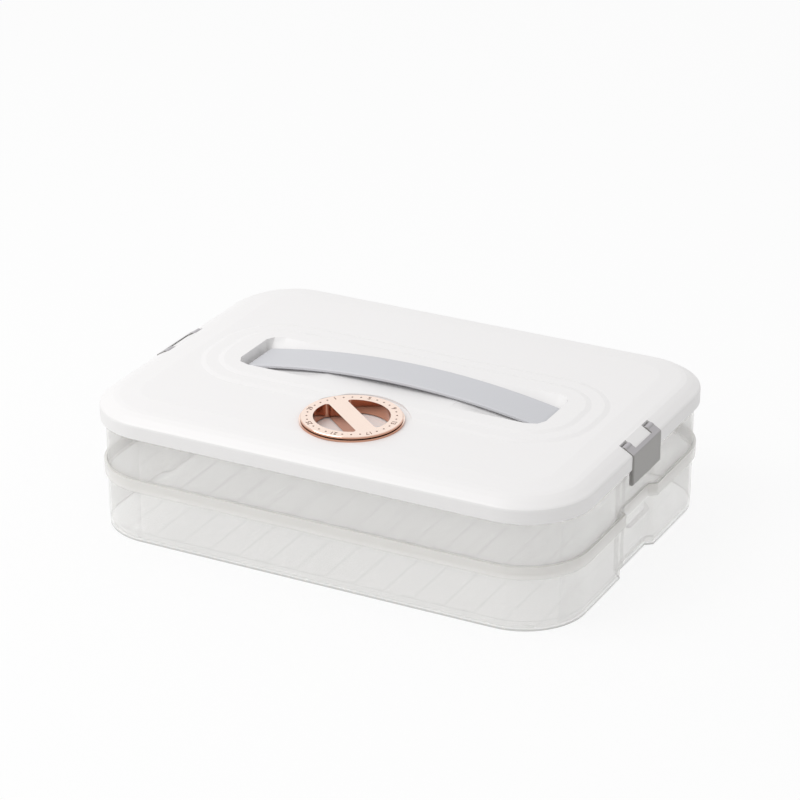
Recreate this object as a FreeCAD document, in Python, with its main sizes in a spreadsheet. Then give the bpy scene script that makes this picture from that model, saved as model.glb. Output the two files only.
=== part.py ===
import FreeCAD, Part
import Sketcher
import math
import os
import re

# Two-tier food keeper: two equal stacking tiers, a lid with a strap handle,
# a turning day dial and two swing latches.
# Millimetres, +X along the long side, +Y to the back, +Z up, origin at the
# middle of the bottom.

doc = FreeCAD.newDocument("Keeper")
sheet = doc.addObject("Spreadsheet::Sheet", "Sizes")

SIZES = {
    # lid
    "lid_length": 335.0,
    "lid_width": 245.0,
    "lid_corner": 45.0,
    "skirt_wall": 1.2,
    "skirt_gap": 0.3,
    "skirt_hang": 8.2,
    "skirt_rise": 1.0,
    "skirt_round": 1.2,
    "seat_width": 3.4,
    "bevel_run": 9.0,
    "bevel_rise": 5.3,
    "bevel_round": 3.5,
    "bevel_skin": 2.1,
    "crown_run": 17.0,
    "crown_rise": 1.7,
    "panel_wall": 1.8,
    "ripple_end_inset": 31.5,
    "ripple_width": 102.0,
    "ripple_corner": 44.0,
    "ripple_step": 11.5,
    "ripple_run": 3.5,
    "ripple_rise": 0.8,
    # strap handle and the two wells it dives into
    "strap_width": 30.0,
    "strap_thick": 2.5,
    "strap_drop": 10.3,
    "strap_crown": 5.2,
    "strap_end_inset": 31.8,
    "strap_bend": 3.5,
    "strap_travel": 4.0,
    "strap_head": 7.4,
    "strap_head_thick": 2.0,
    "strap_head_gap": 0.3,
    "strap_edge": 0.7,
    "strap_rub_gap": 0.7,
    "well_lead": 0.2,
    "well_end_gap": 2.0,
    "well_floor_gap": 0.9,
    "well_side_gap": 1.5,
    "well_flare": 8.2,
    "well_corner": 10.0,
    "slot_inside": 2.4,
    "slot_outside": 1.8,
    "slot_end_gap": 0.3,
    # day dial
    "dial_gap": 18.9,
    "dial_angle": -39.0,
    "dial_ring": 31.6,
    "dial_hole": 23.9,
    "dial_wall": 1.1,
    "dial_ring_thick": 1.4,
    "ring_lift": 0.5,
    "dial_edge": 0.4,
    "dial_bar": 12.5,
    "dial_hole_round": 2.0,
    "dial_depth": 6.5,
    "dial_floor_gap": 0.8,
    "hub_radius": 4.0,
    "hub_fit": 0.06,
    "hub_head": 4.9,
    "hub_head_tip": 3.8,
    "hub_head_thick": 1.8,
    "hub_slit": 1.2,
    "hub_slit_depth": 4.2,
    "bezel_flange": 32.6,
    "bezel_thick": 1.2,
    "bezel_wall": 1.0,
    "bezel_foot_gap": 0.9,
    "bezel_fit": 0.1,
    "turn_gap": 0.3,
    "dial_clearing_gap": 3.8,
    # latches and their seats in the lid
    "latch_width": 42.0,
    "latch_plate": 2.8,
    "latch_proud": 0.9,
    "latch_drop": 21.8,
    "latch_lift": 0.5,
    "latch_edge": 0.6,
    "ear_width": 8.5,
    "ear_deep": 3.6,
    "ear_root": 0.6,
    "ear_heel": 0.6,
    "hinge_inset": 6.3,
    "hinge_height": 2.8,
    "barrel_radius": 2.4,
    "pin_radius": 1.2,
    "pin_reach": 2.2,
    "pin_fit": 0.06,
    "pin_end_gap": 0.3,
    "latch_side_gap": 0.4,
    "notch_back_gap": 0.45,
    "tongue_gap": 0.4,
    "tongue_dip": 0.25,
    "cheek": 3.2,
    "cheek_lift": 0.35,
    "cheek_reach": 4.0,
    "cheek_skin": 0.5,
    "fence_hang": 1.5,
    "barb_reach": 2.1,
    "barb_face": 0.8,
    "barb_tall": 3.6,
    "barb_foot": 1.0,
    "barb_width": 29.0,
    # tiers
    "tier_height": 43.5,
    "nest_depth": 6.5,
    "rim_out": 2.0,
    "rim_height": 8.1,
    "tier_wall": 1.6,
    "floor_thick": 1.6,
    "foot_inset": 0.4,
    "foot_wall": 1.2,
    "step_gap": 0.3,
    "recess_depth": 3.0,
    "recess_width": 41.0,
    "recess_flare": 0.83,
    "recess_gap": 0.4,
    "recess_side_gap": 1.2,
    "rib_side_gap": 20.3,
    "rib_width": 9.0,
    "rib_rise": 1.2,
    "rib_slope": 35.0,
    "rib_end_gap": 7.0,
    "lug_width": 30.0,
    "lug_under": 29.5,
    "lug_reach": 3.9,
    "lug_face": 0.8,
    "lug_tall": 5.0,
    # cuts run past the faces they leave by this much
    "overrun": 2.0,
}
RIB_COUNT = 15
WELL_CORNER_STEPS = 2

# Sizes that follow from the ones above.
DERIVED = {
    "lid_x": "lid_length / 2",
    "lid_y": "lid_width / 2",
    "rim_x": "lid_x - skirt_wall - skirt_gap",
    "rim_y": "lid_y - skirt_wall - skirt_gap",
    "rim_corner": "lid_corner - skirt_wall - skirt_gap",
    "tier_x": "rim_x - rim_out",
    "tier_y": "rim_y - rim_out",
    "tier_corner": "rim_corner - rim_out",
    "tier_pitch": "tier_height - nest_depth",
    "seat_z": "tier_pitch + tier_height",
    "foot_tall": "nest_depth + step_gap",
    "flare_span": "sqrt(1 + recess_flare * recess_flare)",
    "recess_x": "tier_x - recess_depth",
    "recess_half": "recess_width / 2",
    "jacket_x": "recess_x - tier_wall",
    "jacket_half": "recess_half - recess_flare * tier_wall + tier_wall * flare_span",
    "foot_recess_x": "jacket_x - recess_gap",
    "foot_recess_half": "jacket_half - recess_flare * recess_gap + recess_side_gap * flare_span",
    "foot_jacket_x": "foot_recess_x - foot_wall",
    "foot_jacket_half": "foot_recess_half - recess_flare * foot_wall + foot_wall * flare_span",
    "bevel_grade": "bevel_rise / bevel_run",
    "crown_grade": "crown_rise / crown_run",
    "bevel_z": "skirt_rise + bevel_rise",
    "panel_z": "bevel_z + crown_rise",
    "panel_inset": "bevel_run + crown_run",
    "platform_z": "panel_z + 2 * ripple_rise",
    "ripple_x": "lid_x - ripple_end_inset",
    "ripple_y": "ripple_width / 2",
    "strap_leg": "ripple_x - strap_end_inset",
    "strap_bow": "(strap_leg * strap_leg + strap_drop * strap_drop) / (2 * strap_drop)",
    "leg_in": "strap_leg - strap_thick / 2",
    "leg_out": "strap_leg + strap_thick / 2",
    "turn_x": "strap_leg - strap_bend",
    "turn_reach": "strap_bow - strap_bend",
    "turn_rise": "sqrt(turn_reach * turn_reach - turn_x * turn_x)",
    "turn_z": "bow_mid + turn_rise",
    "outer_share": "(strap_bow + strap_thick / 2) / turn_reach",
    "inner_share": "(strap_bow - strap_thick / 2) / turn_reach",
    "well_start": "sqrt(2 * strap_bow * (strap_crown - strap_thick - strap_rub_gap))",
    "well_end": "leg_out + well_end_gap",
    "well_depth": "strap_drop + strap_thick - strap_crown + well_floor_gap",
    "well_half": "strap_width / 2 + well_side_gap",
    "mouth_half": "well_half + well_flare",
    "well_floor_z": "platform_z - well_depth",
    "slot_in": "strap_leg - slot_inside",
    "slot_out": "strap_leg + slot_outside",
    "head_top": "well_floor_z - panel_wall - strap_travel - strap_head_gap",
    "head_foot": "head_top - strap_head_thick",
    "bow_mid": "platform_z + strap_crown - strap_thick / 2 - strap_bow",
    "dial_back": "-(strap_width / 2 + dial_gap + bezel_flange)",
    "dial_clearing": "bezel_flange + dial_clearing_gap",
    "dial_floor_z": "panel_z - dial_depth",
    "dial_skirt": "dial_hole + dial_wall",
    "bezel_hole": "dial_skirt + turn_gap",
    "bezel_out": "bezel_hole + bezel_wall",
    "dial_well": "bezel_out + bezel_fit",
    "ring_z": "bezel_thick + ring_lift",
    "dial_top": "ring_z + dial_ring_thick",
    "dial_foot": "dial_floor_gap - dial_depth",
    "hub_neck": "-dial_depth - panel_wall - turn_gap",
    "hub_foot": "hub_neck - hub_head_thick",
    "hinge_x": "lid_x - hinge_inset",
    "notch_x": "hinge_x - barrel_radius - notch_back_gap",
    "notch_half": "latch_width / 2 + latch_side_gap",
    "cheek_half": "notch_half + cheek",
    "tongue_x": "hinge_x + latch_in - tongue_gap",
    "tongue_half": "latch_width / 2 - ear_width - tongue_gap",
    "latch_out": "hinge_inset + latch_proud",
    "latch_in": "latch_out - latch_plate",
    "top_at_hinge": "skirt_rise + bevel_grade * hinge_inset - hinge_height + latch_lift",
    "latch_foot": "-latch_drop",
    "rib_pitch": "2 * (tier_x - tier_wall - rib_side_gap) / %d" % (RIB_COUNT - 1),
}


def formula(text):
    def swap(match):
        word = match.group(0)
        if word in DERIVED:
            return "(" + formula(DERIVED[word]) + ")"
        if word in SIZES:
            return "Sizes." + word
        return word
    return re.sub(r"[a-z][a-z_]*", swap, str(text))


for row, (alias, value) in enumerate(SIZES.items(), start=1):
    sheet.set("A%d" % row, alias)
    sheet.set("B%d" % row, str(value))
    sheet.setAlias("B%d" % row, alias)
doc.recompute()


def size(text):
    return float(sheet.evalExpression(formula(text)))


def minus(text):
    return "-(" + str(text) + ")"


def less(text, amount):
    return "(" + str(text) + ") - (" + str(amount) + ")"


def new_body(label):
    body = doc.addObject("PartDesign::Body", label)
    body.Label = label
    return body


def sketch_on(body, name, role, height="0"):
    sketch = body.newObject("Sketcher::SketchObject", name)
    plane = [item for item in body.Origin.OriginFeatures if item.Role == role][0]
    sketch.AttachmentSupport = [(plane, "")]
    sketch.MapMode = "FlatFace"
    if height != "0":
        sketch.setExpression("AttachmentOffset.Base.z", formula(height))
    return sketch


def bind(sketch, rules):
    first = sketch.ConstraintCount
    sketch.addConstraint([rule for rule, text in rules])
    for step, (rule, text) in enumerate(rules):
        if text is not None:
            sketch.setExpression("Constraints[%d]" % (first + step), formula(text))


def pin_down(geo, spot, across, along):
    rules = []
    for kind, axis, text in (("DistanceX", -2, across), ("DistanceY", -1, along)):
        if abs(size(text)) < 1e-9:
            rules.append((Sketcher.Constraint("PointOnObject", geo, spot, axis), None))
        else:
            rules.append((Sketcher.Constraint(kind, -1, 1, geo, spot, size(text)), text))
    return rules


def trace(sketch, corners):
    # A closed outline.  Each corner is (x, y) reached by a line, or
    # (x, y, radius, turn) reached by an arc, turn 1 to the left, -1 to the right.
    first = sketch.GeometryCount
    spots = [FreeCAD.Vector(size(item[0]), size(item[1]), 0) for item in corners]
    shapes = []
    ends = []
    for step, item in enumerate(corners):
        start = spots[step - 1]
        stop = spots[step]
        if len(item) == 2:
            shapes.append(Part.LineSegment(start, stop))
            ends.append((1, 2))
            continue
        radius = size(item[2])
        chord = stop - start
        rise = math.sqrt(max(radius ** 2 - chord.Length ** 2 / 4, 0))
        left = FreeCAD.Vector(-chord.y, chord.x, 0).normalize()
        middle = (start + stop) / 2 + left * (rise * item[3])
        low, high = (start, stop) if item[3] > 0 else (stop, start)
        circle = Part.Circle(middle, FreeCAD.Vector(0, 0, 1), radius)
        low_turn = math.atan2(low.y - middle.y, low.x - middle.x)
        high_turn = math.atan2(high.y - middle.y, high.x - middle.x)
        shapes.append(Part.ArcOfCircle(circle, low_turn, high_turn))
        ends.append((1, 2) if item[3] > 0 else (2, 1))
    sketch.addGeometry(shapes, False)
    rules = []
    for step, item in enumerate(corners):
        before = (step - 1) % len(corners)
        rules.append((Sketcher.Constraint("Coincident", first + step, ends[step][0],
                                          first + before, ends[before][1]), None))
    for step, item in enumerate(corners):
        rules += pin_down(first + step, ends[step][1], item[0], item[1])
        if len(item) > 2:
            rules.append((Sketcher.Constraint("Radius", first + step, size(item[2])), item[2]))
    bind(sketch, rules)


def circle(sketch, radius, across="0", along="0"):
    geo = sketch.GeometryCount
    middle = FreeCAD.Vector(size(across), size(along), 0)
    sketch.addGeometry(Part.Circle(middle, FreeCAD.Vector(0, 0, 1), size(radius)), False)
    rules = pin_down(geo, 3, across, along)
    rules.append((Sketcher.Constraint("Radius", geo, size(radius)), radius))
    bind(sketch, rules)


def rounded(half_x, half_y, corner):
    end = less(half_x, corner)
    side = less(half_y, corner)
    return [
        (half_x, minus(side), corner, 1), (half_x, side),
        (end, half_y, corner, 1), (minus(end), half_y),
        (minus(half_x), side, corner, 1), (minus(half_x), minus(side)),
        (minus(end), minus(half_y), corner, 1), (end, minus(half_y)),
    ]


def trough(half, floor_half, brim, top, floor):
    # Cross-section of a trough whose sides slope from the brim to the floor.
    return [
        (minus(half), top), (minus(half), brim), (minus(floor_half), floor),
        (floor_half, floor), (half, brim), (half, top),
    ]


def notched(half_x, half_y, corner, floor_x, floor_half):
    # A rounded outline with a flared recess in the middle of both ends.
    mouth = "(%s) + recess_flare * ((%s) - (%s))" % (floor_half, half_x, floor_x)
    side = less(half_y, corner)
    end = less(half_x, corner)
    return [
        (half_x, minus(side), corner, 1), (half_x, minus(mouth)),
        (floor_x, minus(floor_half)), (floor_x, floor_half), (half_x, mouth),
        (half_x, side), (end, half_y, corner, 1), (minus(end), half_y),
        (minus(half_x), side, corner, 1), (minus(half_x), mouth),
        (minus(floor_x), floor_half), (minus(floor_x), minus(floor_half)),
        (minus(half_x), minus(mouth)), (minus(half_x), minus(side)),
        (minus(end), minus(half_y), corner, 1), (end, minus(half_y)),
    ]


def feature(body, kind, name, sketch, length, both_sides=False, reverse=False):
    made = body.newObject("PartDesign::" + kind, name)
    made.Profile = sketch
    made.setExpression("Length", formula(length))
    if both_sides:
        made.SideType = "Symmetric"
    made.Reversed = reverse
    sketch.Visibility = False
    doc.recompute()
    return made


def loft(body, kind, name, sketches):
    made = body.newObject("PartDesign::" + kind, name)
    made.Profile = sketches[0]
    made.Sections = sketches[1:]
    made.Ruled = True
    doc.recompute()
    return made


def edges_where(made, test):
    return ["Edge%d" % (step + 1) for step, edge in enumerate(made.Shape.Edges) if test(edge)]


def soften(body, kind, name, made, test, amount):
    names = edges_where(made, test)
    done = body.newObject("PartDesign::" + kind, name)
    done.Base = (made, names)
    done.setExpression("Radius" if kind == "Fillet" else "Size", formula(amount))
    doc.recompute()
    return done


def level(edge, height):
    box = edge.BoundBox
    return abs(box.ZMin - height) < 1e-4 and abs(box.ZMax - height) < 1e-4


def long_strap_edge(edge):
    box = edge.BoundBox
    return box.XLength > size("strap_leg") and abs(abs(box.YMax) - size("strap_width / 2")) < 1e-3


def grip_corner(edge):
    box = edge.BoundBox
    flat = box.XLength < 1e-4 and box.YLength < 1e-4 and box.ZLength > size("dial_ring_thick")
    return flat and abs(abs(box.YMax) - size("dial_bar / 2")) < 1e-3


def outer_face_edge(edge):
    box = edge.BoundBox
    return abs(box.XMin - size("latch_out")) < 1e-4 and abs(box.XMax - size("latch_out")) < 1e-4


def place(body, across="0", along="0", up="0", turn="0"):
    body.setExpression("Placement.Base.x", formula(across))
    body.setExpression("Placement.Base.y", formula(along))
    body.setExpression("Placement.Base.z", formula(up))
    body.Placement.Rotation = FreeCAD.Rotation(FreeCAD.Vector(0, 0, 1), size(turn))


def make_tier(label, up):
    body = new_body(label)
    foot = sketch_on(body, label + "_foot_outline", "XY_Plane")
    trace(foot, notched("tier_x - foot_inset", "tier_y - foot_inset", "tier_corner - foot_inset",
                        "foot_recess_x", "foot_recess_half"))
    feature(body, "Pad", label + "_foot", foot, "foot_tall")
    wall = sketch_on(body, label + "_wall_outline", "XY_Plane", "foot_tall")
    trace(wall, notched("tier_x", "tier_y", "tier_corner", "recess_x", "recess_half"))
    feature(body, "Pad", label + "_wall", wall, "tier_height - foot_tall")
    rim = sketch_on(body, label + "_rim_outline", "XY_Plane", "tier_height - rim_height")
    trace(rim, notched("rim_x", "rim_y", "rim_corner", "recess_x", "recess_half"))
    feature(body, "Pad", label + "_rim", rim, "rim_height")
    inside = sketch_on(body, label + "_inside", "XY_Plane", "tier_height")
    trace(inside, notched("tier_x - tier_wall", "tier_y - tier_wall", "tier_corner - tier_wall",
                          "foot_jacket_x", "foot_jacket_half"))
    feature(body, "Pocket", label + "_hollow", inside, "tier_height - floor_thick")
    nest = sketch_on(body, label + "_nest_outline", "XY_Plane", "tier_height")
    trace(nest, notched("rim_x - tier_wall", "rim_y - tier_wall", "rim_corner - tier_wall",
                        "jacket_x", "jacket_half"))
    feature(body, "Pocket", label + "_nest", nest, "nest_depth")
    lug = sketch_on(body, label + "_lug_outline", "XZ_Plane")
    for side in ("", "-"):
        root = side + "(recess_x)"
        nose = side + "(recess_x + lug_reach)"
        trace(lug, [(root, "lug_under"), (nose, "lug_under"), (nose, "lug_under + lug_face"),
                    (root, "lug_under + lug_tall")])
    feature(body, "Pad", label + "_lugs", lug, "lug_width", both_sides=True)
    rib = sketch_on(body, label + "_rib_outline", "XY_Plane", "floor_thick")
    first = "-rib_pitch * %d / 2" % (RIB_COUNT - 1)
    low = less(first, "rib_width / 2")
    high = first + " + rib_width / 2"
    reach = "tier_y - tier_wall - rib_end_gap"
    trace(rib, [(high, minus(reach)), (high, reach), (low, reach), (low, minus(reach))])
    pad = feature(body, "Pad", label + "_rib", rib, "rib_rise")
    pad.setExpression("TaperAngle", formula(minus("rib_slope")))
    doc.recompute()
    row = body.newObject("PartDesign::LinearPattern", label + "_ribs")
    row.Originals = [pad]
    row.Direction = (rib, ["H_Axis"])
    row.setExpression("Length", formula("rib_pitch * %d" % (RIB_COUNT - 1)))
    row.Occurrences = RIB_COUNT
    body.Tip = row
    doc.recompute()
    place(body, up=up)
    return body


def make_lid():
    body = new_body("lid")
    skirt = sketch_on(body, "skirt_outline", "XY_Plane", "-skirt_hang")
    trace(skirt, rounded("lid_x", "lid_y", "lid_corner"))
    feature(body, "Pad", "skirt", skirt, "skirt_hang + skirt_rise - skirt_round")
    # skirt edge, bevel and crown, with both edges rounded in two facets
    rings = []
    for name, inset, height in (
            ("edge_low", "0", "skirt_rise - skirt_round"),
            ("edge_middle", "skirt_round / 4", "skirt_rise + (bevel_grade - 1) * skirt_round / 4"),
            ("edge_high", "skirt_round", "skirt_rise + bevel_grade * skirt_round"),
            ("bevel_low", "bevel_run - bevel_round", "bevel_z - bevel_grade * bevel_round"),
            ("bevel_middle", "bevel_run", "bevel_z + (crown_grade - bevel_grade) * bevel_round / 4"),
            ("bevel_high", "bevel_run + bevel_round", "bevel_z + crown_grade * bevel_round"),
            ("panel_outline", "panel_inset", "panel_z")):
        ring = sketch_on(body, name, "XY_Plane", height)
        trace(ring, rounded(less("lid_x", inset), less("lid_y", inset), less("lid_corner", inset)))
        rings.append(ring)
    loft(body, "AdditiveLoft", "crown", rings)
    under = sketch_on(body, "skirt_inside", "XY_Plane")
    trace(under, rounded("lid_x - skirt_wall", "lid_y - skirt_wall", "lid_corner - skirt_wall"))
    feature(body, "Pocket", "skirt_hollow", under, "skirt_hang")
    rings = []
    for name, inset, height in (("seat_inside", "skirt_wall + seat_width", "0"),
                                ("bevel_inside", "bevel_run", "bevel_z - bevel_skin"),
                                ("panel_inside", "panel_inset", "panel_z - panel_wall")):
        ring = sketch_on(body, name, "XY_Plane", height)
        trace(ring, rounded(less("lid_x", inset), less("lid_y", inset), less("lid_corner", inset)))
        rings.append(ring)
    loft(body, "SubtractiveLoft", "lid_hollow", rings)
    # two low ripples that step up to the strap
    for step, word in ((0, "outer"), (1, "inner")):
        foot_inset = "ripple_step * %d" % step
        foot_height = "panel_z + ripple_rise * %d" % step
        top_height = "panel_z + ripple_rise * %d" % (step + 1)
        rings = []
        for name, inset, height in (("_foot", foot_inset, foot_height),
                                    ("_top", foot_inset + " + ripple_run", top_height)):
            ring = sketch_on(body, word + "_ripple" + name, "XY_Plane", height)
            trace(ring, rounded(less("ripple_x", inset), less("ripple_y", inset),
                                less("ripple_corner", inset)))
            rings.append(ring)
        loft(body, "AdditiveLoft", word + "_ripple", rings)
    # round clearing and well for the dial
    clear = sketch_on(body, "dial_clearing_outline", "XY_Plane", "platform_z")
    circle(clear, "dial_clearing", "0", "dial_back")
    feature(body, "Pocket", "dial_clearing_cut", clear, "2 * ripple_rise")
    drum = sketch_on(body, "dial_drum_outline", "XY_Plane", "panel_z - panel_wall / 2")
    circle(drum, "dial_well + panel_wall", "0", "dial_back")
    feature(body, "Pad", "dial_drum", drum, "dial_depth + panel_wall / 2", reverse=True)
    well = sketch_on(body, "dial_well_outline", "XY_Plane", "panel_z")
    circle(well, "dial_well", "0", "dial_back")
    feature(body, "Pocket", "dial_well_cut", well, "dial_depth")
    hub = sketch_on(body, "hub_outline", "XY_Plane", "dial_floor_z")
    circle(hub, "hub_radius + hub_fit", "0", "dial_back")
    feature(body, "Pocket", "hub_hole", hub, "panel_wall + overrun")
    # sloping wells for the strap ends, their mouths rounded at the deep end
    grade = "(well_depth - well_lead) / (well_end - well_start)"
    stations = [("well_start", "mouth_half")]
    for step in range(WELL_CORNER_STEPS + 1):
        turn = math.pi / 2 * step / WELL_CORNER_STEPS
        stations.append(("well_end - well_corner * %.6f" % (1 - math.sin(turn)),
                         "well_half + well_flare * %.6f" % math.cos(turn)))
    for word, side in (("right", ""), ("left", "-")):
        pans = []
        for name, along, deep in (("start", "well_start", "well_lead"),
                                  ("end", "well_end + panel_wall", "well_depth")):
            pan = sketch_on(body, word + "_pan_" + name, "YZ_Plane", side + "(" + along + ")")
            trace(pan, trough("mouth_half + panel_wall", "well_half + panel_wall", "platform_z - panel_wall",
                              "panel_z + ripple_rise / 2", "platform_z - panel_wall - " + deep))
            pans.append(pan)
        loft(body, "AdditiveLoft", word + "_pan", pans)
        dips = []
        for step, (along, half) in enumerate(stations):
            floor = "platform_z - well_lead - %s * (%s - well_start)" % (grade, along)
            dip = sketch_on(body, "%s_dip_%d" % (word, step), "YZ_Plane", side + "(" + along + ")")
            trace(dip, trough(half, "well_half", "platform_z", "platform_z + overrun", floor))
            dips.append(dip)
        loft(body, "SubtractiveLoft", word + "_well", dips)
    slot = sketch_on(body, "strap_slot_outline", "XY_Plane", "well_floor_z + overrun")
    for side in ("", "-"):
        trace(slot, [(side + "(slot_in)", "-(strap_width / 2 + slot_end_gap)"),
                     (side + "(slot_out)", "-(strap_width / 2 + slot_end_gap)"),
                     (side + "(slot_out)", "strap_width / 2 + slot_end_gap"),
                     (side + "(slot_in)", "strap_width / 2 + slot_end_gap")])
    feature(body, "Pocket", "strap_slots", slot, "panel_wall + 3 * overrun")
    # latch seats: fence, cheeks with blind pin holes, open notch
    fence = sketch_on(body, "fence_outline", "XZ_Plane")
    cheeks = sketch_on(body, "cheek_outline", "XZ_Plane")
    for side in ("", "-"):
        back = side + "(notch_x - panel_wall)"
        front = side + "(notch_x)"
        tip = side + "(hinge_x + cheek_reach)"
        crest = "bevel_z - cheek_skin"
        trace(fence, [(back, "-fence_hang"), (front, "-fence_hang"), (front, crest), (back, crest)])
        trace(cheeks, [(back, "cheek_lift"), (tip, "cheek_lift"),
                       (tip, "skirt_rise + bevel_grade * (hinge_inset - cheek_reach) - cheek_skin"),
                       (front, "skirt_rise + bevel_grade * (lid_x - notch_x) - cheek_skin"),
                       (back, "skirt_rise + bevel_grade * (lid_x - notch_x) - cheek_skin")])
    feature(body, "Pad", "fences", fence, "2 * cheek_half", both_sides=True)
    feature(body, "Pad", "cheeks", cheeks, "2 * cheek_half", both_sides=True)
    notch = sketch_on(body, "notch_outline", "XY_Plane", "panel_z + overrun")
    for side in ("", "-"):
        near = side + "(notch_x)"
        far = side + "(lid_x + overrun)"
        trace(notch, [(near, "-notch_half"), (far, "-notch_half"), (far, "notch_half"),
                      (near, "notch_half")])
    feature(body, "Pocket", "notches", notch, "panel_z + skirt_hang + 2 * overrun")
    holes = sketch_on(body, "pin_hole_outline", "XZ_Plane")
    circle(holes, "pin_radius + pin_fit", "hinge_x", "hinge_height")
    circle(holes, "pin_radius + pin_fit", "-hinge_x", "hinge_height")
    feature(body, "Pocket", "pin_holes", holes, "latch_width + 2 * (pin_reach + pin_end_gap)",
            both_sides=True)
    # a tongue between the two ears of each latch carries the bevel on
    tongue = sketch_on(body, "tongue_outline", "XZ_Plane")
    for side in ("", "-"):
        back = side + "(notch_x - panel_wall / 2)"
        front = side + "(notch_x)"
        tip = side + "(tongue_x)"
        crest = "skirt_rise + bevel_grade * (lid_x - notch_x) - tongue_dip"
        trace(tongue, [(back, "0"), (tip, "0"),
                       (tip, "skirt_rise + bevel_grade * (lid_x - tongue_x) - tongue_dip"),
                       (front, crest), (back, crest)])
    feature(body, "Pad", "tongues", tongue, "2 * tongue_half", both_sides=True)
    place(body, up="seat_z")
    return body


def make_strap():
    body = new_body("strap_handle")
    side = sketch_on(body, "strap_side", "XZ_Plane")
    head_in = "strap_leg - strap_head / 2"
    head_out = "strap_leg + strap_head / 2"
    outer = ("turn_x * outer_share", "bow_mid + turn_rise * outer_share")
    inner = ("turn_x * inner_share", "bow_mid + turn_rise * inner_share")
    outer_turn = "strap_bend + strap_thick / 2"
    inner_turn = "strap_bend - strap_thick / 2"
    trace(side, [
        (head_out, "head_foot"), (head_out, "head_top"), ("leg_out", "head_top"), ("leg_out", "turn_z"),
        (outer[0], outer[1], outer_turn, 1),
        (minus(outer[0]), outer[1], "strap_bow + strap_thick / 2", 1),
        ("-leg_out", "turn_z", outer_turn, 1),
        ("-leg_out", "head_top"), (minus(head_out), "head_top"), (minus(head_out), "head_foot"),
        (minus(head_in), "head_foot"), (minus(head_in), "head_top"), ("-leg_in", "head_top"),
        ("-leg_in", "turn_z"),
        (minus(inner[0]), inner[1], inner_turn, -1),
        (inner[0], inner[1], "strap_bow - strap_thick / 2", -1),
        ("leg_in", "turn_z", inner_turn, -1),
        ("leg_in", "head_top"), (head_in, "head_top"), (head_in, "head_foot"),
    ])
    made = feature(body, "Pad", "strap_band", side, "strap_width", both_sides=True)
    soften(body, "Chamfer", "strap_edges", made, long_strap_edge, "strap_edge")
    place(body, up="seat_z")
    return body


def make_bezel():
    body = new_body("dial_bezel")
    half = sketch_on(body, "bezel_section", "XZ_Plane")
    trace(half, [("bezel_hole", "bezel_foot_gap - dial_depth"), ("bezel_out", "bezel_foot_gap - dial_depth"),
                 ("bezel_out", "0"), ("bezel_flange", "0"), ("bezel_flange", "bezel_thick"),
                 ("bezel_hole", "bezel_thick")])
    made = body.newObject("PartDesign::Revolution", "bezel_ring")
    made.Profile = half
    made.ReferenceAxis = (half, ["V_Axis"])
    made.Angle = 360
    doc.recompute()
    place(body, along="dial_back", up="seat_z + panel_z")
    return body


def make_dial():
    body = new_body("date_dial")
    drum = sketch_on(body, "dial_drum", "XY_Plane", "dial_foot")
    circle(drum, "dial_skirt")
    feature(body, "Pad", "dial_body", drum, "dial_top - dial_foot")
    ring = sketch_on(body, "dial_ring_outline", "XY_Plane", "ring_z")
    circle(ring, "dial_ring")
    made = feature(body, "Pad", "dial_flange", ring, "dial_ring_thick")
    soften(body, "Chamfer", "dial_ring_edge", made,
           lambda e: level(e, size("dial_top")) and e.BoundBox.XLength > 2 * size("dial_hole"),
           "dial_edge")
    grips = sketch_on(body, "grip_outline", "XY_Plane", "dial_top")
    span = "sqrt(dial_hole * dial_hole - dial_bar * dial_bar / 4)"
    trace(grips, [(minus(span), "dial_bar / 2", "dial_hole", 1), (span, "dial_bar / 2")])
    trace(grips, [(span, "-dial_bar / 2", "dial_hole", 1), (minus(span), "-dial_bar / 2")])
    made = feature(body, "Pocket", "grips", grips, "dial_top - dial_foot + overrun")
    soften(body, "Fillet", "grip_corners", made, grip_corner, "dial_hole_round")
    hub = sketch_on(body, "hub_post_outline", "XY_Plane", "ring_z")
    circle(hub, "hub_radius")
    feature(body, "Pad", "hub_post", hub, "ring_z - hub_neck", reverse=True)
    rings = []
    for name, radius, height in (("hub_head_top", "hub_head", "hub_neck"),
                                 ("hub_head_tip_ring", "hub_head_tip", "hub_foot")):
        edge = sketch_on(body, name, "XY_Plane", height)
        circle(edge, radius)
        rings.append(edge)
    loft(body, "AdditiveLoft", "hub_snap", rings)
    slit = sketch_on(body, "hub_slit_outline", "XY_Plane", "hub_foot + hub_slit_depth")
    trace(slit, [("-hub_head - overrun", "-hub_slit / 2"), ("hub_head + overrun", "-hub_slit / 2"),
                 ("hub_head + overrun", "hub_slit / 2"), ("-hub_head - overrun", "hub_slit / 2")])
    feature(body, "Pocket", "hub_slit_cut", slit, "hub_slit_depth + overrun")
    place(body, along="dial_back", up="seat_z + panel_z", turn="dial_angle")
    return body


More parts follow.
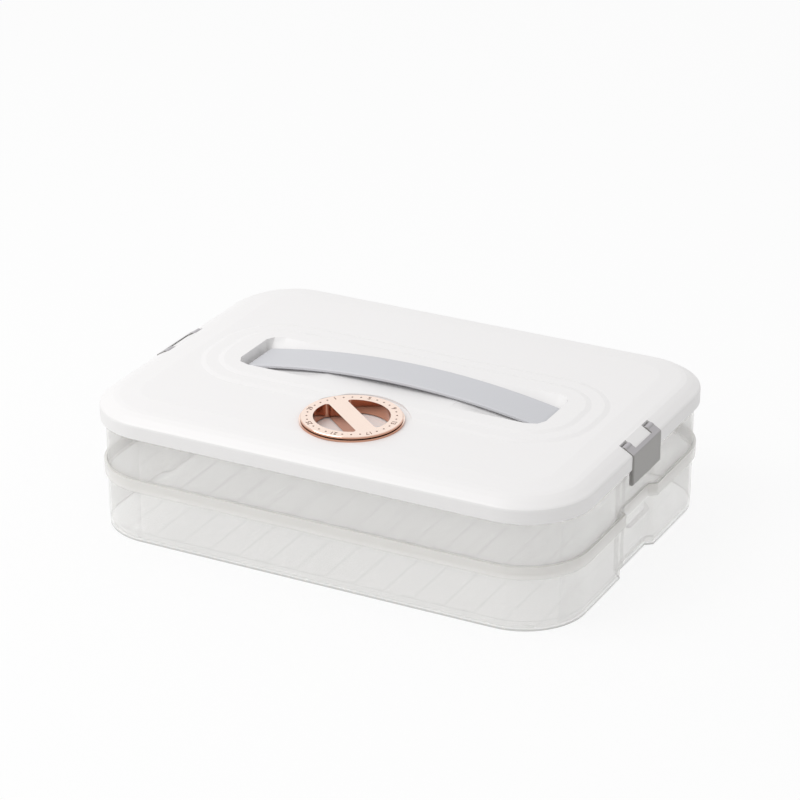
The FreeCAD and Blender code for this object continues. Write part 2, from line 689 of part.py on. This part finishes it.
def make_latch(label, side):
    body = new_body(label)
    plate = sketch_on(body, label + "_plate_outline", "XZ_Plane")
    top = "top_at_hinge - bevel_grade * "
    trace(plate, [("latch_in", "latch_foot"), ("latch_out", "latch_foot"),
                  ("latch_out", top + "latch_out"), ("latch_in", top + "latch_in")])
    feature(body, "Pad", label + "_plate", plate, "latch_width", both_sides=True)
    arm = sketch_on(body, label + "_arm_outline", "XZ_Plane")
    trace(arm, [("0", "ear_heel - barrel_radius"), ("latch_in + ear_root", top + "latch_in - ear_deep"),
                ("latch_in + ear_root", top + "(latch_in + ear_root)"), ("0", "top_at_hinge")])
    feature(body, "Pad", label + "_arms", arm, "latch_width", both_sides=True)
    barrel = sketch_on(body, label + "_barrel_outline", "XZ_Plane")
    circle(barrel, "barrel_radius")
    feature(body, "Pad", label + "_barrel", barrel, "latch_width", both_sides=True)
    pins = sketch_on(body, label + "_pin_outline", "XZ_Plane")
    circle(pins, "pin_radius")
    feature(body, "Pad", label + "_pins", pins, "latch_width + 2 * pin_reach", both_sides=True)
    gap = sketch_on(body, label + "_gap_outline", "XY_Plane", "barrel_radius + overrun")
    trace(gap, [("-barrel_radius - overrun", "ear_width - latch_width / 2"),
                ("latch_in", "ear_width - latch_width / 2"),
                ("latch_in", "latch_width / 2 - ear_width"),
                ("-barrel_radius - overrun", "latch_width / 2 - ear_width")])
    feature(body, "Pocket", label + "_gap", gap, "2 * (barrel_radius + overrun) + ear_deep")
    barb = sketch_on(body, label + "_barb_outline", "XZ_Plane")
    trace(barb, [("latch_in - barb_foot", "latch_foot"), ("latch_in", "latch_foot"),
                 ("latch_in", "latch_foot + barb_tall"),
                 ("latch_in - barb_reach", "latch_foot + barb_tall"),
                 ("latch_in - barb_reach", "latch_foot + barb_tall - barb_face")])
    made = feature(body, "Pad", label + "_barb", barb, "barb_width", both_sides=True)
    soften(body, "Chamfer", label + "_edges", made, outer_face_edge, "latch_edge")
    place(body, side + "hinge_x", "0", "seat_z + hinge_height", "0" if side == "" else "180")
    return body


bodies = [
    make_tier("lower_tier", "0"),
    make_tier("upper_tier", "tier_pitch"),
    make_lid(),
    make_strap(),
    make_bezel(),
    make_dial(),
    make_latch("latch_right", ""),
    make_latch("latch_left", "-"),
]
doc.recompute()

for item in doc.Objects:
    if "Invalid" in item.State or "Error" in item.State:
        raise RuntimeError(item.Name + " did not build")

os.makedirs("parts", exist_ok=True)
for body in bodies:
    shape = body.Shape
    if shape.isNull() or not shape.isValid() or len(shape.Solids) != 1:
        raise RuntimeError(body.Label + " is not one sound solid")
    shape.exportStep("parts/" + body.Label + ".step")
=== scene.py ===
import math

import bmesh
import bpy
from bpy.props import FloatProperty, FloatVectorProperty, IntProperty, PointerProperty
from mathutils import Matrix, Vector


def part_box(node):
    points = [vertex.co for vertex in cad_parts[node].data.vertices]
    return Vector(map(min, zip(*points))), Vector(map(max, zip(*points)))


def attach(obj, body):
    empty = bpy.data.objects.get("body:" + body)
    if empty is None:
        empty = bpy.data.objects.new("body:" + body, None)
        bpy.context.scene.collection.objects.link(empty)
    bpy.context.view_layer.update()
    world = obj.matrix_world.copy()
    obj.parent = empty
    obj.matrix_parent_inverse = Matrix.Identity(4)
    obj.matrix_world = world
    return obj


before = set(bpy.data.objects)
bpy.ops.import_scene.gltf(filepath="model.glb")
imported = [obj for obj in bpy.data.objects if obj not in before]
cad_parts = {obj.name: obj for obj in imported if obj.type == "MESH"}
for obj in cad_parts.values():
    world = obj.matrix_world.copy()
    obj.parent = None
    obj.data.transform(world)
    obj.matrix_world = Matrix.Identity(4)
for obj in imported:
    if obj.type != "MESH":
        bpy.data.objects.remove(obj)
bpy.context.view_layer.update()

bl_info = {
    "name": "Two-tier food keeper",
    "version": (1, 0, 0),
    "blender": (4, 5, 0),
    "location": "View3D > Sidebar > Keeper",
    "description": "Finishes, dial marks and studio for a two-tier food keeper",
    "category": "Object",
}

DIAL_LOW, DIAL_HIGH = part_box("date_dial")

PLASTIC_IOR = 1.49
NOISE_MIDDLE = 0.5

# Rise of a face's normal where a face starts to count as level, and where it fully does
LEVEL_FROM, LEVEL_FULL = 0.35, 0.95
# Slope of a face's normal up to which a face is upright, and from which it no longer is
UPRIGHT_FULL, UPRIGHT_END = 0.3, 0.7
# Half of the height, in metres, over which a band round a tier fades in
BAND_FADE = 0.0001

# Noises: scale, detail and, where it is drawn out, the stretch along x, y and z
PLASTIC_CLOUD = (18.0, 3.0)
PLASTIC_SCUFF = (1.0, 4.0, (30.0, 700.0, 30.0))
CLEAR_CLOUD = (14.0, 3.0)
CLEAR_FLOW = (1.0, 3.0, (110.0, 110.0, 9.0))
CLEAR_GRAIN = (420.0, 1.0)
PLATING_CLOUD = (90.0, 3.0)
PLATING_GRAIN = (900.0, 2.0)
INK_CLOUD = (1500.0, 2.0)

# Relief: strength, and depth in metres
CLEAR_RELIEF = (0.06, 0.0002)
PLATING_RELIEF = (0.05, 0.0001)

# Grain of the moulded plastics: scale, and depth in metres
LID_GRAIN = (900.0, 0.0001)
STRAP_GRAIN = (1100.0, 0.00015)
LATCH_GRAIN = (1000.0, 0.00012)
GRAIN_DETAIL = 2.0
GRAIN_STRENGTH = 0.12

# Darkest share of a plastic's colour in its clouds or flow streaks
CLOUD_SHADE, FLOW_SHADE, MILK_SHADE = 0.975, 0.98, 0.97
INK_THIN, INK_THICK = 0.8, 1.2
INK_ROUGH = 0.6
PLATING_STAIN = 0.08

# Swing of the roughness with each noise, and of the milk with its clouds
CLOUD_SATIN, SCUFF_SATIN = 0.06, 0.1
CLOUD_HAZE, FLOW_HAZE = 0.08, 0.1
PLATING_SATIN = 0.06
INK_SATIN = 0.2
MILK_CLOUDING = 0.3

# Print on the dial: sides of a dot, taper of its edge, type size for a height, steps of a curve
DOT_SIDES = 16
DOT_TAPER = 0.92
TYPE_SIZE = 1.4
TYPE_STEPS = 3

SENSOR_WIDTH = 36.0
CAMERA_REACH = 50.0
WHITE = (1.0, 1.0, 1.0, 1.0)


def shade(name, words, default):
    return FloatVectorProperty(name=name, description=words, default=default, size=3,
                               min=0.0, max=1.0, subtype="COLOR")


def length(name, words, default):
    return FloatProperty(name=name, description=words, default=default, unit="LENGTH", precision=5)


def share(name, words, default):
    return FloatProperty(name=name, description=words, default=default, min=0.0, max=1.0, subtype="FACTOR")


def spot(name, words, default):
    return FloatVectorProperty(name=name, description=words, default=default, size=3,
                               subtype="XYZ", unit="LENGTH")


class KeeperFinishes(bpy.types.PropertyGroup):
    """Colours and gloss of the keeper's plastics and plating, with painted light and shade in some of them"""
    clear_colour: shade("Clear plastic", "Hazy clear plastic of both tiers", (0.985, 0.972, 0.952))
    clear_pass: share("Clear pass", "Share of light that a tier's wall lets through", 0.86)
    clear_cover: share("Clear cover", "How much of what lies behind a tier's wall is covered", 0.19)
    clear_rough: share("Clear haze", "Haze of the tiers", 0.19)
    milk_colour: shade("Milk", "Tint of the haze in the tiers' walls", (0.945, 0.93, 0.902))
    milk_pass: share("Milk pass", "Share of light that goes through the haze", 0.1)
    wall_milk: share("Wall milk", "How milky a tier's upright walls are", 0.21)
    # Partly painted highlight: the thick rim is made milkier for its thicker plastic and for the light its
    # rounded edges catch
    rim_milk_and_highlight: share("Rim milk", "How milky a tier's thick rim is", 0.62)
    rim_height: length("Rim height", "Height of the thick rim at a tier's top", 0.0081)
    # Painted shade: a tier's bottom edge is painted grey, standing in for the shade along that edge
    foot_shade_colour: shade("Foot", "Greyer tint of a tier's bottom edge", (0.54, 0.545, 0.52))
    foot_shade_share: share("Foot milk", "How milky a tier's bottom edge is", 0.7)
    foot_height: length("Foot height", "Height of a tier's bottom edge", 0.0013)
    lid_colour: shade("Lid", "White plastic of the lid", (0.845, 0.835, 0.83))
    # Painted light: the lid's level faces are painted whiter than its sides, for the light that falls on them
    # from above
    lid_painted_top_light: shade("Lid top", "White of the lid's level faces", (0.885, 0.872, 0.870))
    lid_rough: share("Lid roughness", "Satin of the lid", 0.36)
    strap_colour: shade("Strap", "Pale grey plastic of the strap", (0.597, 0.600, 0.625))
    # Painted light: the strap's upper face is painted a paler grey, for the light that falls on it from above
    strap_painted_top_light: shade("Strap top", "Grey of the strap's upper face", (0.614, 0.618, 0.646))
    strap_rough: share("Strap roughness", "Satin of the strap", 0.42)
    latch_colour: shade("Latch", "Mid grey plastic of the latches", (0.315, 0.306, 0.295))
    # Painted light: a latch's upper faces are painted a paler grey, for the light that falls on them from
    # above
    latch_painted_top_light: shade("Latch crest", "Paler grey where hands polish a latch's upper faces",
                       (0.47, 0.452, 0.472))
    latch_rough: share("Latch roughness", "Satin of the latches", 0.34)
    # Painted light and shade: the plating is a lit copy on the dial's level faces and a shaded copy on its
    # upright walls
    plating_lit_top: shade("Plating", "Pale satin rose gold of the dial's level faces", (0.97, 0.80, 0.70))
    plating_wall_shade: shade("Deep plating", "Deeper copper of the dial's upright walls", (0.60, 0.325, 0.23))
    plating_rough: share("Plating roughness", "Polish of the plating", 0.16)
    mark_colour: shade("Marks", "Brown print of the dial marks", (0.22, 0.105, 0.075))


class KeeperDialMarks(bpy.types.PropertyGroup):
    """Sizes of the marks printed on the dial's ring"""
    positions: IntProperty(name="Positions", description="Marks round the ring", default=32, min=4, max=64)
    numeral_every: IntProperty(name="Numeral every", description="Marks from one numeral to the next",
                               default=4, min=1, max=16)
    first_angle: FloatProperty(name="First angle", description="Where the first numeral stands",
                               default=math.radians(140), subtype="ANGLE")
    ring_radius: length("Ring radius", "Middle of the marks, from the dial's axis", 0.02775)
    numeral_height: length("Numeral height", "Height of a numeral", 0.0034)
    dot_radius: length("Dot radius", "Radius of a dot", 0.00062)
    print_lift: length("Print lift", "How far the print stands off the ring", 0.00003)
    print_thick: length("Print thickness", "Thickness of the print", 0.00005)


class KeeperStudio(bpy.types.PropertyGroup):
    """Camera and light of the studio"""
    camera_place: spot("Camera", "Where the camera stands", (0.80033, -1.54335, 0.85267))
    camera_aim: spot("Aim", "What the camera and the soft lamp point at", (0.0, 0.0, 0.08664))
    camera_lens: FloatProperty(name="Lens", description="Focal length in millimetres on a 36 mm sensor",
                               default=135.72, min=10.0, max=400.0)
    shift_across: FloatProperty(name="Shift across", description="Sideways shift of the frame",
                                default=-0.00234)
    shift_up: FloatProperty(name="Shift up", description="Upward shift of the frame", default=-0.0200)
    sky_light: FloatProperty(name="Sky light", description="Even light from all round", default=0.70, min=0.0)
    key_place: spot("Key lamp", "Where the soft lamp stands", (-0.8, -0.7, 1.4))
    key_size: length("Key size", "Width of the soft lamp", 1.2)
    key_light: FloatProperty(name="Key light", description="Power of the soft lamp", default=11.8, min=0.0,
                             unit="POWER")
    floor_reach: length("Floor reach", "How far the floor runs from the middle", 6.0)
    floor_drop: length("Floor drop", "Gap between the keeper and the floor", 0.0002)
    floor_colour: shade("Floor", "Plain pale floor", (0.9, 0.9, 0.9))
    floor_shadow: share("Floor shadow", "How strongly the shadow shows on the floor", 0.12)


class Wire:
    """A node socket that can stand in plain maths"""

    def __init__(self, paint, socket):
        self.paint = paint
        self.socket = socket

    def maths(self, operation, first, second):
        return self.paint.node("ShaderNodeMath", {"operation": operation}, {0: first, 1: second})

    def __add__(self, other):
        return self.maths("ADD", self, other)

    def __radd__(self, other):
        return self.maths("ADD", other, self)

    def __sub__(self, other):
        return self.maths("SUBTRACT", self, other)

    def __rsub__(self, other):
        return self.maths("SUBTRACT", other, self)

    def __mul__(self, other):
        return self.maths("MULTIPLY", self, other)

    def __rmul__(self, other):
        return self.maths("MULTIPLY", other, self)


class Paint:
    """A node tree with one method that adds its nodes"""

    def __init__(self, tree):
        self.tree = tree
        self.tree.nodes.clear()

    def node(self, kind, settings=None, inputs=None, output=0):
        made = self.tree.nodes.new(kind)
        for key, value in (settings or {}).items():
            setattr(made, key, value)
        for key, value in (inputs or {}).items():
            if isinstance(value, Wire):
                self.tree.links.new(value.socket, made.inputs[key])
            else:
                made.inputs[key].default_value = value
        return Wire(self, made.outputs[output]) if made.outputs else made

    def noise(self, scale, detail, stretch=(1.0, 1.0, 1.0)):
        place = self.node("ShaderNodeTexCoord", output="Object")
        spread = self.node("ShaderNodeVectorMath", {"operation": "MULTIPLY"}, {0: place, 1: stretch})
        return self.node("ShaderNodeTexNoise", {}, {"Vector": spread, "Scale": scale, "Detail": detail},
                         "Fac")

    def tint(self, amount, low, high):
        return self.node("ShaderNodeMix", {"data_type": "RGBA"}, {0: amount, 6: low, 7: high}, 2)

    def bump(self, height, strength, distance):
        return self.node("ShaderNodeBump", {},
                         {"Height": height, "Strength": strength, "Distance": distance})

    def larger(self, first, second):
        return self.node("ShaderNodeMath", {"operation": "MAXIMUM"}, {0: first, 1: second})

    def ramp(self, value, low, high):
        return self.node("ShaderNodeMapRange", {"clamp": True}, {0: value, 1: low, 2: high})

    def around(self, middle, *swings):
        """A value that swings about its middle with each noise"""
        value = middle
        for noise, swing in swings:
            value = value + (noise - NOISE_MIDDLE) * swing
        return value

    def upward(self, coordinates):
        """Height along the piece's own z of a place or a normal"""
        vector = self.node("ShaderNodeTexCoord", output=coordinates)
        return self.node("ShaderNodeSeparateXYZ", {}, {0: vector}, "Z")

    def level_share(self):
        return self.ramp(self.upward("Normal"), LEVEL_FROM, LEVEL_FULL)

    def upright_share(self):
        slope = self.node("ShaderNodeMath", {"operation": "ABSOLUTE"}, {0: self.upward("Normal")})
        return 1.0 - self.ramp(slope, UPRIGHT_FULL, UPRIGHT_END)

    def above_share(self, height):
        return self.ramp(self.upward("Object"), height - BAND_FADE, height + BAND_FADE)

    def seen_rays(self):
        seen = self.node("ShaderNodeLightPath", output="Is Camera Ray")
        for kind in ("Is Glossy Ray", "Is Transmission Ray"):
            seen = self.larger(seen, self.node("ShaderNodeLightPath", output=kind))
        return seen

    def finish(self, shader):
        self.node("ShaderNodeOutputMaterial", {}, {"Surface": shader})


def new_finish(name):
    material = bpy.data.materials.new(name)
    material.use_nodes = True
    return material, Paint(material.node_tree)


def solid(colour, factor=1.0):
    return (colour[0] * factor, colour[1] * factor, colour[2] * factor, 1.0)


def moulded_plastic(name, colour, painted_top_light, rough, grain_scale, grain_depth):
    """Satin moulded plastic: faint clouding, hairline scuffs, a fine grain, and level faces painted paler as
    painted light from above
    """
    material, paint = new_finish(name)
    cloud = paint.noise(*PLASTIC_CLOUD)
    scuff = paint.noise(*PLASTIC_SCUFF)
    grain = paint.noise(grain_scale, GRAIN_DETAIL)
    body = paint.tint(cloud, solid(colour, CLOUD_SHADE), solid(colour))
    paint.finish(paint.node("ShaderNodeBsdfPrincipled", {}, {
        # Painted light: level faces take the paler top colour
        "Base Color": paint.tint(paint.level_share(), body, solid(painted_top_light)),
        "Roughness": paint.around(rough, (cloud, CLOUD_SATIN), (scuff, SCUFF_SATIN)),
        "Normal": paint.bump(grain, GRAIN_STRENGTH, grain_depth),
        "IOR": PLASTIC_IOR,
    }, "BSDF"))
    return material


def clear_plastic(name, finishes, foot_top, rim_low):
    """Hazy clear plastic: see-through, milkier on upright walls and on the thick rim, where the extra milk is
    partly painted highlight, with painted grey shade at the foot
    """
    material, paint = new_finish(name)
    cloud = paint.noise(*CLEAR_CLOUD)
    flow = paint.noise(*CLEAR_FLOW)
    haze = paint.around(finishes.clear_rough, (cloud, CLOUD_HAZE), (flow, FLOW_HAZE))
    relief = paint.bump(paint.noise(*CLEAR_GRAIN), *CLEAR_RELIEF)
    clear = paint.node("ShaderNodeBsdfPrincipled", {}, {
        "Base Color": paint.tint(flow, solid(finishes.clear_colour, FLOW_SHADE),
                                 solid(finishes.clear_colour)),
        "Roughness": haze,
        "Normal": relief,
        "Transmission Weight": finishes.clear_pass,
        "Alpha": finishes.clear_cover,
        "IOR": PLASTIC_IOR,
    }, "BSDF")
    upright = paint.upright_share()
    above_foot = paint.above_share(foot_top)
    white = paint.tint(flow, solid(finishes.milk_colour, MILK_SHADE), solid(finishes.milk_colour))
    # Below the foot height the milk takes the grey foot colour: painted shade
    milk = paint.node("ShaderNodeBsdfPrincipled", {}, {
        "Base Color": paint.tint(above_foot, solid(finishes.foot_shade_colour), white),
        "Roughness": haze,
        "Normal": relief,
        "Transmission Weight": finishes.milk_pass,
        "IOR": PLASTIC_IOR,
    }, "BSDF")
    wall = upright * finishes.wall_milk * paint.around(1.0, (cloud, MILK_CLOUDING))
    # Milkier rim band: partly the thicker plastic, partly painted highlight
    rim = paint.above_share(rim_low) * finishes.rim_milk_and_highlight
    # Painted shade along the bottom edge of the upright walls
    foot = upright * (1.0 - above_foot) * finishes.foot_shade_share
    veil = paint.larger(paint.larger(wall, rim), foot)
    paint.finish(paint.node("ShaderNodeMixShader", {}, {0: veil, 1: clear, 2: milk}))
    return material


def plating(name, pale, deep, rough):
    """Rose-gold plating: level faces pale satin, painted as a lit copy of the gold; upright walls a deeper
    and brighter copper, painted as shade
    """
    material, paint = new_finish(name)
    cloud = paint.noise(*PLATING_CLOUD)
    level = paint.level_share()
    # Painted light and shade: level faces get the lit gold, upright walls the shaded copper
    gold = paint.tint(level, solid(deep), solid(pale))
    paint.finish(paint.node("ShaderNodeBsdfPrincipled", {}, {
        "Base Color": paint.tint(cloud * PLATING_STAIN, gold, solid(deep)),
        "Roughness": paint.around(rough, (cloud, PLATING_SATIN), (level, PLATING_SATIN)),
        "Normal": paint.bump(paint.noise(*PLATING_GRAIN), *PLATING_RELIEF),
        "Metallic": 1.0,
    }, "BSDF"))
    return material


def print_ink(name, colour):
    """Matt printed ink with uneven cover"""
    material, paint = new_finish(name)
    cloud = paint.noise(*INK_CLOUD)
    paint.finish(paint.node("ShaderNodeBsdfPrincipled", {}, {
        "Base Color": paint.tint(cloud, solid(colour, INK_THIN), solid(colour, INK_THICK)),
        "Roughness": paint.around(INK_ROUGH, (cloud, INK_SATIN)),
    }, "BSDF"))
    return material


def wear(node_name, material):
    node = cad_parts[node_name]
    node.data.materials.clear()
    node.data.materials.append(material)


def dot_mesh(bm, centre, radius, thick):
    made = bmesh.ops.create_cone(bm, cap_ends=True, segments=DOT_SIDES, radius1=radius,
                                 radius2=radius * DOT_TAPER, depth=thick)
    bmesh.ops.translate(bm, verts=made["verts"], vec=centre)


def numeral_mesh(bm, text, height, thick, turn_to_ring):
    curve = bpy.data.curves.new("numeral", "FONT")
    curve.body = text
    curve.size = height * TYPE_SIZE
    curve.align_x = "CENTER"
    curve.align_y = "CENTER"
    curve.extrude = thick / 2
    curve.resolution_u = TYPE_STEPS
    holder = bpy.data.objects.new("numeral", curve)
    bpy.context.scene.collection.objects.link(holder)
    bpy.context.view_layer.update()
    graph = bpy.context.evaluated_depsgraph_get()
    mesh = bpy.data.meshes.new_from_object(holder.evaluated_get(graph))
    mesh.transform(turn_to_ring)
    bm.from_mesh(mesh)
    bpy.data.objects.remove(holder)
    bpy.data.curves.remove(curve)
    bpy.data.meshes.remove(mesh)


class KEEPER_OT_tiers(bpy.types.Operator):
    """Gives both tiers their milky clear plastic, with painted shade at the foot and painted highlight on the
    rim
    """
    bl_idname = "keeper.tiers"
    bl_label = "Tiers"

    def execute(self, context):
        finishes = context.scene.keeper_finishes
        for tier in ("lower_tier", "upper_tier"):
            low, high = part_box(tier)
            wear(tier, clear_plastic(tier + "_clear_plastic", finishes, low.z + finishes.foot_height,
                                     high.z - finishes.rim_height))
        return {"FINISHED"}


class KEEPER_OT_lid(bpy.types.Operator):
    """Gives the lid its satin white plastic, with painted light on its level faces"""
    bl_idname = "keeper.lid"
    bl_label = "Lid"

    def execute(self, context):
        finishes = context.scene.keeper_finishes
        wear("lid", moulded_plastic("lid_white_plastic", finishes.lid_colour, finishes.lid_painted_top_light,
                                    finishes.lid_rough, *LID_GRAIN))
        return {"FINISHED"}


class KEEPER_OT_strap(bpy.types.Operator):
    """Gives the strap its pale grey plastic, with painted light on its upper face"""
    bl_idname = "keeper.strap"
    bl_label = "Strap"

    def execute(self, context):
        finishes = context.scene.keeper_finishes
        wear("strap_handle", moulded_plastic("strap_grey_plastic", finishes.strap_colour,
                                             finishes.strap_painted_top_light, finishes.strap_rough, *STRAP_GRAIN))
        return {"FINISHED"}


class KEEPER_OT_dial(bpy.types.Operator):
    """Plates the dial and its bezel, with painted light and shade in the plating, and prints the dial's
    numerals and dots
    """
    bl_idname = "keeper.dial"
    bl_label = "Dial"

    def execute(self, context):
        finishes = context.scene.keeper_finishes
        gold = plating("dial_rose_gold", finishes.plating_lit_top, finishes.plating_wall_shade,
                       finishes.plating_rough)
        wear("date_dial", gold)
        wear("dial_bezel", gold)
        mesh = self.marks(context.scene.keeper_dial_marks)
        mesh.materials.append(print_ink("dial_mark_ink", finishes.mark_colour))
        piece = bpy.data.objects.new("dial_marks", mesh)
        context.scene.collection.objects.link(piece)
        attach(piece, "dial_body")
        return {"FINISHED"}

    def marks(self, marks):
        axis = (DIAL_LOW + DIAL_HIGH) / 2
        axis.z = DIAL_HIGH.z + marks.print_lift + marks.print_thick / 2
        bm = bmesh.new()
        for step in range(marks.positions):
            angle = marks.first_angle - 2 * math.pi * step / marks.positions
            centre = axis + Vector((math.cos(angle), math.sin(angle), 0.0)) * marks.ring_radius
            if step % marks.numeral_every:
                dot_mesh(bm, centre, marks.dot_radius, marks.print_thick)
                continue
            turn = Matrix.Translation(centre) @ Matrix.Rotation(angle - math.pi / 2, 4, "Z")
            numeral_mesh(bm, str(step + 1), marks.numeral_height, marks.print_thick, turn)
        mesh = bpy.data.meshes.new("dial_marks")
        bm.to_mesh(mesh)
        bm.free()
        return mesh


class KEEPER_OT_latches(bpy.types.Operator):
    """Gives both latches their mid grey plastic, with painted light on their upper faces"""
    bl_idname = "keeper.latches"
    bl_label = "Latches"

    def execute(self, context):
        finishes = context.scene.keeper_finishes
        material = moulded_plastic("latch_grey_plastic", finishes.latch_colour, finishes.latch_painted_top_light,
                                   finishes.latch_rough, *LATCH_GRAIN)
        wear("latch_left", material)
        wear("latch_right", material)
        return {"FINISHED"}


class KEEPER_OT_studio(bpy.types.Operator):
    """Builds the floor, the lights and the camera"""
    bl_idname = "keeper.studio"
    bl_label = "Studio"

    def execute(self, context):
        studio = context.scene.keeper_studio
        self.floor(context, studio)
        self.sky(context, studio)
        self.lamp(context, studio)
        self.camera(context, studio)
        context.scene.view_settings.view_transform = "Standard"
        return {"FINISHED"}

    def floor(self, context, studio):
        mesh = bpy.data.meshes.new("floor")
        reach = studio.floor_reach
        corners = [(-reach, -reach, 0.0), (reach, -reach, 0.0), (reach, reach, 0.0), (-reach, reach, 0.0)]
        mesh.from_pydata(corners, [], [(0, 1, 2, 3)])
        floor = bpy.data.objects.new("floor", mesh)
        floor.location.z = -studio.floor_drop
        context.scene.collection.objects.link(floor)
        material, paint = new_finish("floor_white")
        matt = paint.node("ShaderNodeBsdfDiffuse", {}, {"Color": solid(studio.floor_colour)})
        glow = paint.node("ShaderNodeEmission", {}, {"Color": WHITE, "Strength": 1.0})
        paint.finish(paint.node("ShaderNodeMixShader", {},
                                {0: paint.seen_rays() * (1.0 - studio.floor_shadow), 1: matt, 2: glow}))
        mesh.materials.append(material)

    def sky(self, context, studio):
        world = bpy.data.worlds.new("studio_sky")
        context.scene.world = world
        world.use_nodes = True
        paint = Paint(world.node_tree)
        strength = paint.seen_rays() * (1.0 - studio.sky_light) + studio.sky_light
        sky = paint.node("ShaderNodeBackground", {}, {"Color": WHITE, "Strength": strength})
        paint.node("ShaderNodeOutputWorld", {}, {"Surface": sky})

    def lamp(self, context, studio):
        light = bpy.data.lights.new("key_lamp", "AREA")
        light.shape = "SQUARE"
        light.size = studio.key_size
        light.energy = studio.key_light
        self.stand(context, "key_lamp", light, studio.key_place, studio.camera_aim)

    def camera(self, context, studio):
        view = bpy.data.cameras.new("camera")
        view.lens = studio.camera_lens
        view.sensor_width = SENSOR_WIDTH
        view.shift_x = studio.shift_across
        view.shift_y = studio.shift_up
        view.clip_end = CAMERA_REACH
        context.scene.camera = self.stand(context, "camera", view, studio.camera_place, studio.camera_aim)

    def stand(self, context, name, thing, place, aim):
        """Puts a lamp or a camera at its place and points it at the keeper"""
        holder = bpy.data.objects.new(name, thing)
        holder.location = place
        holder.rotation_euler = (Vector(aim) - Vector(place)).to_track_quat("-Z", "Y").to_euler()
        context.scene.collection.objects.link(holder)
        return holder


class KEEPER_PT_panel(bpy.types.Panel):
    """Lists the keeper's pieces and their settings"""
    bl_idname = "KEEPER_PT_panel"
    bl_label = "Food keeper"
    bl_space_type = "VIEW_3D"
    bl_region_type = "UI"
    bl_category = "Keeper"

    def draw(self, context):
        layout = self.layout
        for operator in OPERATORS:
            layout.operator(operator.bl_idname)
        for name in GROUPS:
            group = getattr(context.scene, name)
            box = layout.box()
            for key in group.bl_rna.properties.keys():
                if key not in ("rna_type", "name"):
                    box.prop(group, key)


GROUPS = {
    "keeper_finishes": KeeperFinishes,
    "keeper_dial_marks": KeeperDialMarks,
    "keeper_studio": KeeperStudio,
}
OPERATORS = (
    KEEPER_OT_tiers, KEEPER_OT_lid, KEEPER_OT_strap,
    KEEPER_OT_dial, KEEPER_OT_latches, KEEPER_OT_studio,
)


def register():
    for name, group in GROUPS.items():
        bpy.utils.register_class(group)
        setattr(bpy.types.Scene, name, PointerProperty(type=group))
    for operator in OPERATORS:
        bpy.utils.register_class(operator)
    bpy.utils.register_class(KEEPER_PT_panel)


def unregister():
    bpy.utils.unregister_class(KEEPER_PT_panel)
    for operator in reversed(OPERATORS):
        bpy.utils.unregister_class(operator)
    for name, group in GROUPS.items():
        delattr(bpy.types.Scene, name)
        bpy.utils.unregister_class(group)


def main():
    register()
    bpy.ops.keeper.tiers()
    bpy.ops.keeper.lid()
    bpy.ops.keeper.strap()
    bpy.ops.keeper.dial()
    bpy.ops.keeper.latches()
    bpy.ops.keeper.studio()


if __name__ == "__main__":
    main()
